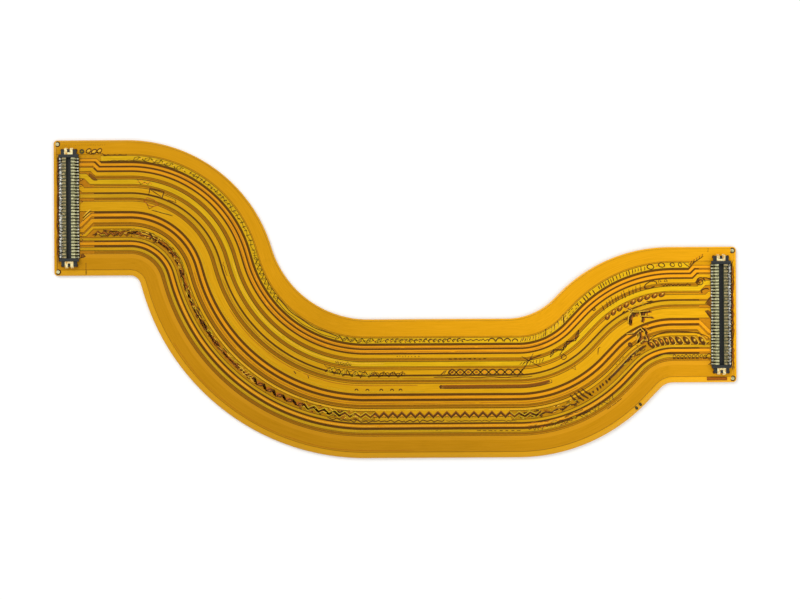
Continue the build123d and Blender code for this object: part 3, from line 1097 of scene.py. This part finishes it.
def mark_left_bend():
    """Marks on the lanes of the left tail and the first bend."""
    brown.patch([(4.5, 12.95), (5.2, 12.35), (5.7, 12.35), (5, 13.1), (4.6, 13.3)])
    glow.stroke([(10.6, 12.1), (11, 12.45), (11.3, 12), (11.7, 12.4), (12.1, 12.15)], 0.12)
    scribble(dark, 10.6, 12.4, 11.8, 12.6, 0.28, 0.07)
    dark.stroke([(12, 10.72), (12, 11.55), (13.5, 11.6), (13.55, 10.8), (12, 10.72)])
    dark.stroke([(12.1, 11.4), (12.8, 11.1), (13.4, 10.9)], 0.09)
    dark.stroke([(13.6, 11.25), (14.9, 11.3), (15.2, 10.95), (14.2, 10.85)], 0.08)
    loop = [(11.6, 9.75), (12.3, 9.35), (12.8, 9.35), (13.4, 9.75), (12.8, 10.2), (11.9, 10.3)]
    rust.stroke(loop + loop[:1], 0.12)
    dark.stroke([(12, 9.5), (12.45, 8.92), (12.9, 9.4)], 0.08)
    dark.stroke([(12.8, 8.85), (14.2, 8.95), (15.6, 9.25)], 0.08)
    lime.stroke([(12.9, 8.98), (14.4, 9.08), (15.6, 9.35)], 0.09)
    for rise in (0, 0.42):
        cream.stroke([(3.75, 7.25 + rise), (4.3, 7.8 + rise), (4.75, 8.2 + rise)], 0.16)
        dark.stroke([(3.75, 7.1 + rise), (4.35, 7.68 + rise), (4.85, 8.05 + rise)], 0.08)
    for w in (4.45, 5.1, 9.4, 11.55, 12.3):
        dark.stroke([(3.45, w), (3.75, w + 0.22), (3.5, w + 0.34)], 0.11)
        glow.disc(3.6, w + 0.16, 0.14, 0.14)
    brown.patch([(3.45, 2.3), (4, 2.45), (3.75, 2.85), (3.45, 2.75)])
    dark.stroke([(3.4, 2.3), (4.05, 2.45), (3.7, 2.9)], 0.09)
    dark.stroke([(4.12, 0.15), (4.12, 1.7)], 0.07)
    dots(dark, 1.2, 6.8, 16.95, 0.07, 0.24)
    scribble(dark, 4.15, 6.7, 15.75, 16.05, 0.5, 0.09)
    for s, w, size in ((4.55, 16.2, 0.62), (5.25, 16.1, 0.72), (5.95, 16.2, 0.6)):
        dark.stroke(oval(s, w, size, 0.62, 0.4, 8), 0.11)
        cream.disc(s, w, size * 0.62, 0.36, 0.4, 8)
    dark.stroke([(6.3, 15.9), (6.6, 15.55), (7.1, 15.62)], 0.09)
    dark.stroke([(0.42, 0.9), (0.42, 16.6)], 0.05)
    scribble(dark, 23.8, 26, lane_middle(9) - 0.2, lane_middle(9), 0.3, 0.06)


def mark_middle():
    """Marks on the lanes of the second bend and the straight middle run."""
    dark.stroke([(41.9, 9.15), (42.3, 8.95)], 0.16)
    dark.stroke([(43.8, 9.35), (44.05, 9.05)], 0.14)
    leaves(dark, 46.2, 56.2, 10.4, 11.3, 0.62, 0.08)
    leaves(lime, 46.6, 52, 10.5, 11.4, 0.9, 0.1)
    scribble(dark, 45.4, 52, 10.9, 11.5, 0.4, 0.07)
    chain(dark, 47, 49.6, 12.1, 0.3, 0.36, 0.42, 0.07)
    chain(dark, 52, 56.6, 10.85, 0.5, 0.36, 0.7, 0.08, 0.4)
    for s in (50.4, 51.8, 53.6, 55, 56.1):
        dark.stroke(oval(s, 8.72, 0.4, 0.44, 0, 8, 0.5), 0.11)
    dots(dark, 55.7, 58.6, lane_middle(11), 0.12, 0.42)
    dashes(dark, 62.4, 67.2, gap_below(11) + 0.1, 0.34, 0.3, 0.09)
    ticks(dark, 61.3, 62.6, 10.75, 11.45, 0.42, 0.5, 0.1)
    for phase in (0, pi):
        dark.stroke(curve(62.3, 72.2, 11.08, 0.72, 2.1, 14, phase), 0.14)
    for step in range(9):
        spot = rust if step < 4 else glow
        spot.disc(62.82 + 1.05 * step, 11.08, 0.4, 0.3)
    dark.stroke(curve(60.4, 73.4, 10.42, 0.1, 3.3), 0.08)
    for s, w, reach, rise in ((71.2, 10.4, 3, 2.9), (72, 13.1, 3, -1.8), (72.2, 12.2, 3.4, 0.7)):
        middle = (s + reach / 2, w + rise / 2 + 0.12)
        dark.stroke([(s, w), middle, (s + reach, w + rise)], 0.08)
    ticks(dark, 71.6, 75.6, 11.9, 12.4, 0.5, 0.35, 0.08)
    brown.stroke([(61.3, 9.22), (68, 9.24), (75.6, 9.26)], 0.46)
    dark.stroke([(61.4, 9.02), (61.2, 9.2), (61.4, 9.42)], 0.22)
    dark.stroke([(61.2, 8.98), (75.8, 9.02), (75.9, 9.4)], 0.08)
    rust.stroke([(61.4, 9.4), (75.8, 9.44)], 0.09)
    dashes(dark, 57.8, 61.6, lane_middle(1) + 0.05, 0.3, 0.26, 0.1)
    dashes(dark, 66, 71.2, lane_middle(1) + 0.02, 0.4, 0.34, 0.1)
    scribble(dark, 72.2, 77.6, 3.3, 3.95, 0.24)
    mottle(72.2, 77.6, 3.3, 4.4, 0.5)


def mark_right_bend():
    """Marks on the lanes of the last bend."""
    scribble(dark, 77.6, 81, 3.2, 3.9, 0.22)
    dashes(dark, 79.8, 81.3, 2.66, 0.5, 0.05, 0.11)
    leaves(dark, 77.4, 83.4, 12.15, 12.9, 1.3)
    dark.stroke([(78.4, 11.9), (79.6, 12.45), (81.4, 12.55), (82.8, 12.3)])
    rust.stroke([(80.4, 12.45), (82.4, 12.5), (83, 12.35)], 0.16)
    dark.stroke(oval(78.8, 11.4, 0.8, 0.6), 0.08)
    dark.stroke([(79, 9.7), (79.3, 9.2), (79.5, 9.75)], 0.09)
    dark.stroke([(82.8, 8.9), (83.4, 9.4), (83.7, 9.3)], 0.09)
    dark.stroke(oval(86.3, 13.4, 0.24, 0.36), 0.09)
    ticks(dark, 87, 91.2, 12.3, 13.4, 0.4, 0.15, 0.06)
    for step in range(9):
        s = 86.9 + 0.8 * step
        rust.disc(s, 11.55, 0.5, 0.52, 0.5)
        dark.stroke(oval(s, 11.52, 0.56, 0.62, 0.5, 10, 0.5, 0.45), 0.11)
        cream.disc(s + 0.04, 11.6, 0.22, 0.24, 0.5)
    dark.stroke(oval(92.25, 12.95, 1.2, 0.9, 0.4, 9, 0.9))
    for s in (93, 93.6):
        dark.stroke([(s, 13.15), (s + 0.15, 13.5), (s + 0.3, 13.15), (s, 13.15)], 0.08)
    scribble(dark, 93.3, 97, 12.5, 12.85, 0.2)


def mark_right_tail():
    """Marks on the lanes and in the corners of the right tail."""
    spiral(dark, 98, 13.05, 0.62, 1.8)
    dark.stroke([(98.3, 13.6), (98.9, 13.55), (99.6, 13.2)])
    dark.stroke(oval(98.6, 11.9, 0.9, 0.55, 0.7, 12, 0.6, 0.1))
    brown.patch([(98.7, 10.2), (99.5, 9.7), (99.5, 11.2)])
    dark.stroke([(98.6, 10.2), (99.4, 11.1)])
    brown.patch([(98.7, 9.3), (99.5, 8.2), (99.5, 9), (99, 9.4)])
    dark.stroke([(98.6, 9.3), (99.5, 8.1)], 0.14)
    for path in (
        [(88.5, 8.9), (89, 9.8), (89.7, 10.3), (90.4, 9.9), (91.6, 9.6)],
        [(89.2, 10.9), (89.7, 10.2), (90.5, 9.8), (90.4, 9), (90.1, 8.6)],
        [(90.3, 9.3), (91.2, 9), (91.7, 8.75)],
        [(87.6, 8.1), (88.6, 7.7), (89.8, 7.9), (90.1, 7.2), (89.9, 6.6)],
        [(88.2, 6.5), (89, 6.9), (89.3, 7.5), (88.7, 7.2)],
        [(88.5, 6.2), (89.4, 6.3), (90, 6), (90.1, 6.7)],
    ):
        dark.stroke(path, 0.26)
        rust.stroke([(s + 0.16, w - 0.12) for s, w in path], 0.24)
        cream.stroke([(s - 0.18, w + 0.14) for s, w in path], 0.12)
    mottle(87.6, 91, 6.2, 8, 0.3)
    mottle(88.2, 92, 9.9, 11.2, 0.34)
    for s, w in ((88.3, 6.6), (88.9, 7.3), (89.5, 6.5), (90, 7.5), (88.6, 9.4), (89.6, 9.9), (90.8, 9.5)):
        dark.disc(s, w, between(0.3, 0.5), between(0.4, 0.8), 0.6, 7)
        rust.stroke([(s + 0.2, w - 0.4), (s + 0.35, w), (s + 0.2, w + 0.35)], 0.2)
    dark.stroke(oval(86.95, 6.83, 0.52, 0.5), 0.14)
    brown.disc(86.95, 6.83, 0.4, 0.38)
    dark.stroke(curve(89.4, 94.6, 3.65, 0.5, 10.4, 12))
    lime.stroke(curve(89.8, 94.4, 3.52, 0.3, 9.2, 12), 0.12)
    chain(dark, 94.4, 98.8, 3.35, 0.36, 0.4, 0.5, 0.07, 0.2)
    dashes(dark, 94.4, 98.6, 3.05, 0.16, 0.14, 0.07)
    dark.stroke([(98.6, 3.35), (99.1, 3.75), (99.6, 3.35), (99.1, 3), (98.6, 3.35)])
    dark.stroke([(99, 2.3), (99.5, 2.6), (99.6, 2.1)], 0.14)
    dark.stroke([(99, 16.9), (99.05, 17.4)], 0.06)
    rust.patch([(98.8, 0.24), (101.4, 0.24), (101.4, 0.66), (98.8, 0.66)])
    dark.stroke([(98.8, 0.66), (101.4, 0.66)], 0.05)


def mark_lane_lines():
    """Fine lines that run along the wide lanes and the ground bands."""
    first = 6.5
    last = cable_length - 7
    for level, start, finish, ink, width in (
        (0.98, 30, 56, rust, 0.04),
        (8.62, 20, 58, lime, 0.07),
        (9.42, 30, 47, rust, 0.07),
        (7.10, 24, 70, rust, 0.06),
        (11.30, 14, 44, lime, 0.06),
        (12.25, 24, 46, cream, 0.08),
        (4.15, 26, 70, cream, 0.06),
        (14.35, 14, 70, rust, 0.05),
        (13.78, 20, 64, rust, 0.05),
        (3.50, 10, 56, lime, 0.08),
        (6.22, 30, 71, cream, 0.07),
        (10.30, 26, 60, rust, 0.06),
    ):
        s = max(start, first)
        while s < min(finish, last):
            length = between(9, 18)
            ink.stroke(curve(s, min(s + length, last), level, 0.05, 6, 10), width)
            s += length + between(0.1, 0.6)


for Ink.base, draw_marks in (
    (via_low, mark_stitched_strip),
    (channel_middle, mark_channel_weave),
    (channel_middle, mark_teeth),
    (0.0, mark_left_bend),
    (0.0, mark_middle),
    (0.0, mark_right_bend),
    (0.0, mark_right_tail),
    (0.0, mark_lane_lines),
):
    draw_marks()

# Solder on the contact tails and beside the hold-downs, and dark rings of painted shade round the dots
plug_ends = ((plug_from_end, -1), (cable_length - plug_from_end, 1))


def blob(points, faces, place, size):
    """A lumpy half-round bead that sits on the copper."""
    rings = 4
    sides = 8
    first = len(points)
    top = first + rings * sides
    x, y, z = place
    for ring in range(rings):
        rise = pi / 2 * ring / rings
        for index in range(sides):
            turn = 2 * pi * index / sides
            reach = cos(rise) * between(0.88, 1.12)
            side_x = size[0] * reach * cos(turn)
            side_y = size[1] * reach * sin(turn)
            points.append((x + side_x, y + side_y, z + size[2] * sin(rise)))
    points.append((x, y, z + size[2]))
    for here in range(first, top):
        is_last = (here - first) % sides == sides - 1
        after = here + 1 - sides if is_last else here + 1
        above = (after + sides, here + sides) if here < top - sides else (top,)
        faces.append((here, after, *above))
    faces.append(tuple(range(first, first + sides))[::-1])


def build_solder(end_name, place, outward):
    """Beads of solder on both rows of tails of one plug, larger along its outer side."""
    for row_name, side_sign, scale in (("outer", outward, 1.25), ("inner", -outward, 0.85)):
        points = []
        faces = []
        for index in range(contacts_per_row):
            y = place[1] + (index - (contacts_per_row - 1) / 2) * contact_pitch
            size = scale * between(0.7, 1.3)
            x = place[0] + side_sign * (pad_end - 0.13 - between(0.0, 0.12))
            y += between(-0.06, 0.06)
            blob(points, faces, (x, y, copper_top), (0.14 * size, 0.12 * size, 0.16 * size))
        name = end_name + "_" + row_name + "_solder"
        make_piece(name, points, faces, {}, materials["solder"])


def build_ear_solder(end_name, place):
    """Pale gold solder at the feet of the two hold-downs of one plug."""
    points = []
    faces = []
    for up in (-1, 1):
        y = place[1] + up * (ear_end - 0.05)
        for x_shift in (-0.42, 0.42):
            size = between(0.9, 1.2)
            spot = (place[0] + x_shift, y, copper_top)
            blob(points, faces, spot, (0.17 * size, 0.20 * size, 0.2))
    make_piece(end_name + "_ear_solder", points, faces, {}, materials["gold"])


def shade_plugs():
    """Painted shadow, with some dark flux, on the film between the contact tails, with curls of solder
    outside.
    """
    low_w = tail_width / 2 - row_length / 2 - row_clearance
    high_w = tail_width - low_w
    for s, outward in plug_ends:
        for side_sign in (-1, 1):
            spill = 0.07 if side_sign == outward else 0.02
            sides = (s + side_sign * (wall_outer - 0.02), s + side_sign * (pad_end + spill))
            low, high = sorted(sides)
            shade.patch([(low, low_w), (high, low_w), (high, high_w), (low, high_w)])
        foot = s + outward * (pad_end - 0.02)
        knee = s + outward * (wall_outer + 0.10)
        edge = s + outward * (pad_end + 0.05)
        w = low_w + 0.3
        while w < high_w - 0.7:
            rise = between(0.25, 0.5)
            curl = [(foot, w), (knee, w + rise * 0.4), (foot, w + rise), (knee, w + rise * 1.3)]
            curls.stroke(curl, 0.13)
            w += rise * between(1.1, 1.9)
            shade.stroke([(edge, w), (edge + outward * 0.15, w + 0.2)], 0.16)


def scribble_up(ink, s, low, high, reach, step):
    """A restless line across the cable, beside a plug."""
    ink.stroke([(s + between(-reach, reach), w) for w in uneven(low, high, step, 0.5, 1.5)])


def build_dark_spots():
    """Dark rings of painted shade round the corner dots, and dark spots and lines beside the plugs."""
    dot_inset = 0.50
    for s in (dot_inset, cable_length - dot_inset):
        for w in (dot_inset, tail_width - dot_inset):
            # Painted shade: a dark three-quarter ring on one side of each corner dot
            dark.stroke(oval(s, w, 0.56, 0.56, 0.0, 14, 0.75, 0.6), 0.15)
    middle = tail_width / 2
    for s, outward in plug_ends:
        for up in (-1, 1):
            for shift in (-0.92, 0.92):
                dark.disc(s + shift, middle + up * (ear_end - 0.15), 0.40, 0.46)
        edge = s + outward * (pad_end + 0.14)
        scribble_up(dark, edge, middle - 7.2, middle + 7.2, 0.10, 0.5)
        scribble_up(rust, edge + outward * 0.16, middle - 7.0, middle + 7.0, 0.08, 0.9)
    edge = cable_length - plug_from_end + pad_end + 0.3
    scribble_up(rust, edge, middle - 7.0, middle + 6.6, 0.14, 0.30)
    lime.disc(3.68, tail_width - 1.45, 0.26, 0.26)


# Floor, light and camera
field_width = 0.104
photo_roll = radians(0.334)


def build_floor():
    """A plain white floor that keeps the object's soft shadow."""
    size = 3.0
    mesh = bpy.data.meshes.new("floor")
    corners = [(-size, -size, 0), (size, -size, 0), (size, size, 0), (-size, size, 0)]
    mesh.from_pydata(corners, [], [(0, 1, 2, 3)])
    floor = add_object("floor", mesh)
    shader = Shader("floor_white")
    shader.set(Base_Color=(0.86, 0.86, 0.85, 1.0), Roughness=0.9, Specular_IOR_Level=0.1)
    ray_kinds = ("Is Camera Ray", "Is Glossy Ray")
    rays = [add_node(shader.tree, "LightPath", {}, kind) for kind in ray_kinds]
    shine = shader.math("MULTIPLY", shader.math("MAXIMUM", *rays), 0.16)
    shader.set(Emission_Strength=shine, Emission_Color=(1.0, 1.0, 1.0, 1.0))
    mesh.materials.append(shader.material)


def build_light():
    """A white surround, dark where the camera hangs, with two large soft lamps."""
    world = bpy.data.worlds.new("surround")
    bpy.context.scene.world = world
    world.use_nodes = True
    tree = world.node_tree
    upward = add_node(tree, "SeparateXYZ", {0: add_node(tree, "TexCoord", {}, "Generated")}, "Z")
    hole = {"Value": upward, "From Min": 0.90, "From Max": 0.98, "To Min": 1.0, "To Max": 0.12}
    colour = add_node(tree, "MapRange", hole)
    fill(tree, tree.nodes["Background"], {"Color": colour, "Strength": 0.80})
    lamps = (("key", (-0.22, 0.26, 0.30), 0.24, 0.75), ("fill", (0.30, -0.16, 0.28), 0.30, 0.35))
    for name, place, size, power in lamps:
        data = bpy.data.lights.new(name, "AREA")
        data.size = size
        data.energy = power
        lamp = add_object(name, data)
        lamp.location = place
        away = -lamp.location
        lamp.rotation_euler = away.to_track_quat("-Z", "Y").to_euler()


def build_camera():
    """Straight down on the cable, with the photograph's framing and slight roll."""
    data = bpy.data.cameras.new("camera")
    data.lens = 100.0
    data.sensor_width = 36.0
    distance = field_width * data.lens / data.sensor_width
    camera = add_object("camera", data)
    camera.location = (0.61 * MM, -0.23 * MM, distance)
    camera.rotation_euler = (0.0, 0.0, -photo_roll)
    data.clip_start = 0.01
    data.clip_end = 10.0
    bpy.context.scene.camera = camera


build_dark_spots()
shade_plugs()
for ink in (dark, brown, rust, cream, lime, stitchery, glow, shade, curls):
    ink.make()
for plug_name, plug, way_out in (("left", left_plug, -1), ("right", right_plug, 1)):
    build_solder(plug_name, plug, way_out)
for plug_name, plug in (("left", left_plug), ("right", right_plug)):
    build_ear_solder(plug_name, plug)
build_floor()
build_light()
build_camera()
bpy.context.scene.view_settings.view_transform = "Standard"

finishes = {
    "housing": "moulding",
    "inner_contacts": "contact",
    "outer_contacts": "tail",
    "stiffener": "stiffener",
    "locating_mark": "ring",
    "test_pads": "ring",
    "corner_dots": "contact",
}
for node_name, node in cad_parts.items():
    if node.hide_render:
        continue
    finish = "gold"
    for ending, own_finish in finishes.items():
        if node_name.endswith(ending):
            finish = own_finish
    for slot in node.material_slots:
        slot.material = materials[finish]
